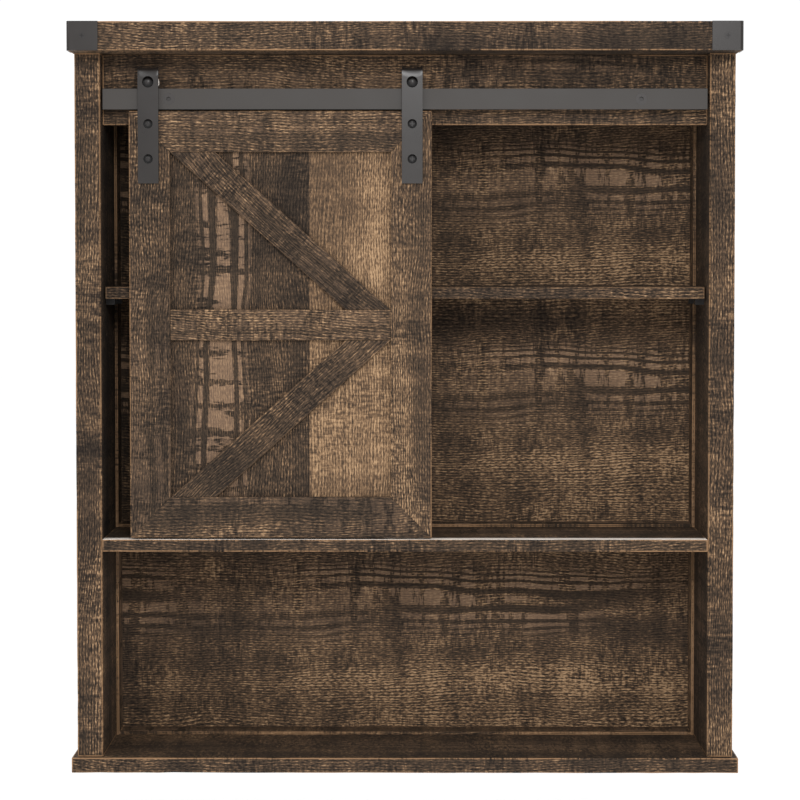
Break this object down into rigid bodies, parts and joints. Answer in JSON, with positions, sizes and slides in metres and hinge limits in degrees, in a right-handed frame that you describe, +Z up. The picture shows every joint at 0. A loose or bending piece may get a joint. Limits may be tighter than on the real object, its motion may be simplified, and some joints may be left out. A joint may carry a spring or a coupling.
{
  "type": "wall cabinet",
  "caption": "Hanging wall cabinet with open shelves and a braced barn door that slides sideways on a flat track, held by strap hangers with grooved rollers.",
  "frame": {"origin": "midway between the two wall-screw holes, in the plane of the cabinet's back", "axes": "+Z up, +Y out of the back into the wall, so the door is on the -Y side; +X to the right seen from the front"},
  "size_m": [0.65, 0.18, 0.728],
  "materials": {
    "barnwood": "distressed brown stain, matte, saw marks, worn arrises",
    "barnwood_back": "charcoal brown stain with paler cathedral grain, matte",
    "door_planks": "distressed brown planks, one paler, matte",
    "door_trim": "distressed brown stain, matte, worn arrises",
    "black_iron": "flat black paint, slightly worn",
    "strap_iron": "black satin paint",
    "black_screw": "black finish, satin",
    "plain_steel": "zinc plated",
    "nylon_roller": "off-white nylon, satin",
    "pale_strip": "off-white, satin",
    "dowel_wood": "plain beech"
  },
  "bodies": {
    "carcass": {"left_side": "barnwood", "right_side": "barnwood", "top_board": "barnwood", "bottom_board": "barnwood", "fixed_shelf": "barnwood", "adjustable_shelf": "barnwood", "header_board": "barnwood", "back_panel": "barnwood_back", "hanging_rail": "barnwood_back", "back_strip_upper_left": "barnwood_back", "back_strip_upper_right": "barnwood_back", "back_strip_lower_left": "barnwood_back", "back_strip_lower_right": "barnwood_back", "back_strip_shelf": "barnwood_back", "back_strip_bottom": "barnwood_back", "joint_dowels": "dowel_wood", "top_dowels": "dowel_wood", "guide_strip": "pale_strip", "track_rail": "black_iron", "corner_plate_left": "strap_iron", "corner_plate_right": "strap_iron", "corner_screws": "black_screw", "rail_bolts": "black_iron", "back_screws": "black_screw", "bottom_screws": "black_screw", "rail_nuts": "plain_steel", "rail_spacers": "plain_steel", "shelf_pins": "black_screw"},
    "door": {"door_panel": "door_planks", "door_stile_left": "door_trim", "door_stile_right": "door_trim", "door_rail_top": "door_trim", "door_rail_bottom": "door_trim", "door_mid_bar": "door_trim", "door_brace_upper": "door_trim", "door_brace_lower": "door_trim", "hanger_strap_left": "strap_iron", "hanger_strap_right": "strap_iron", "strap_screws": "black_screw", "roller_axles": "black_screw", "roller_nuts": "plain_steel"},
    "roller_left": {"roller_left": "nylon_roller"},
    "roller_right": {"roller_right": "nylon_roller"}
  },
  "joints": [
    {"name": "door_slide", "type": "slide", "parent": "carcass", "child": "door", "axis": [1, 0, 0], "range_m": [-0.027, 0.2684]},
    {"name": "roller_left_spin", "type": "hinge", "parent": "door", "child": "roller_left", "pos_m": [-0.2485, -0.1404, 0.0022], "axis": [0, 1, 0], "range_deg": [-260, 2565]},
    {"name": "roller_right_spin", "type": "hinge", "parent": "door", "child": "roller_right", "pos_m": [0.0071, -0.1404, 0.0022], "axis": [0, 1, 0], "range_deg": [-260, 2565]}
  ],
  "couplings": [
    {"joint": "roller_left_spin", "follows": "door_slide", "rad_per_m": 166.67},
    {"joint": "roller_right_spin", "follows": "door_slide", "rad_per_m": 166.67}
  ]
}
